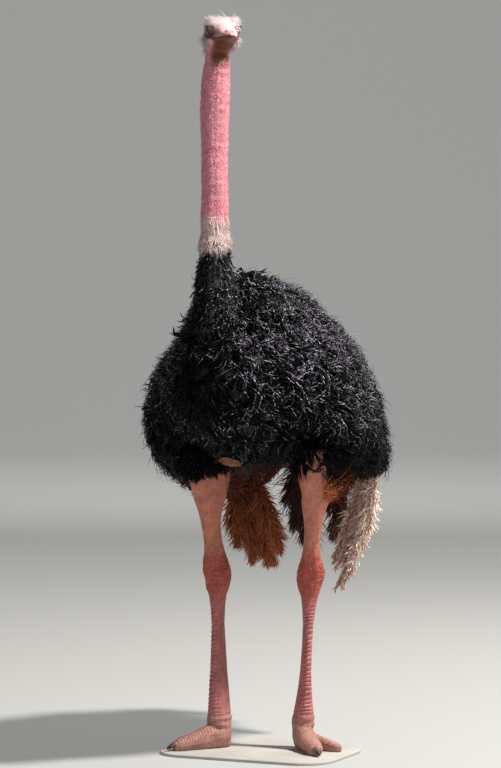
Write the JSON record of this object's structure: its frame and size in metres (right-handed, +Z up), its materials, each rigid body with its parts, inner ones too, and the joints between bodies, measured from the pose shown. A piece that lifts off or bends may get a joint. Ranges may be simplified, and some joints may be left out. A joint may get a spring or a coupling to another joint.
{
  "type": "ostrich model",
  "caption": "Life-size still model of a standing male ostrich with bare pink neck and legs and black plumage, on a thin flat base.",
  "frame": {"origin": "on the floor, under the middle of the whole model's box", "axes": "+Z up; the bird faces -Y and its left side is +X; its head is turned 36 degrees towards +X"},
  "size_m": [0.7975, 1.2278, 2.3247],
  "materials": {
    "black_plumage": "matte",
    "white_collar": "matte",
    "pink_skin": "satin",
    "leg_skin": "satin",
    "bill": "satin",
    "eye": "gloss",
    "callus": "matte",
    "cream_plumes": "matte",
    "cinnamon_plumes": "matte",
    "tail_plumes": "matte",
    "claw": "satin",
    "stand": "matte"
  },
  "bodies": {
    "root": {"trunk": "black_plumage", "neck_base": "black_plumage", "neck_collar": "white_collar", "neck_lower": "pink_skin", "neck_upper": "pink_skin", "head": "pink_skin", "bill_upper": "bill", "bill_lower": "bill", "eye_left": "eye", "eye_right": "eye", "breast_pad": "callus", "wing_left": "black_plumage", "wing_right": "black_plumage", "plumes_left": "cream_plumes", "plumes_right": "cinnamon_plumes", "tail": "tail_plumes", "undertail": "tail_plumes", "drumstick_left": "leg_skin", "drumstick_right": "leg_skin", "hock_left": "leg_skin", "hock_right": "leg_skin", "shank_left": "leg_skin", "shank_right": "leg_skin", "toe_inner_left": "leg_skin", "toe_inner_right": "leg_skin", "toe_outer_left": "leg_skin", "toe_outer_right": "leg_skin", "claw_left": "claw", "claw_right": "claw", "stand_base": "stand"}
  },
  "joints": []
}
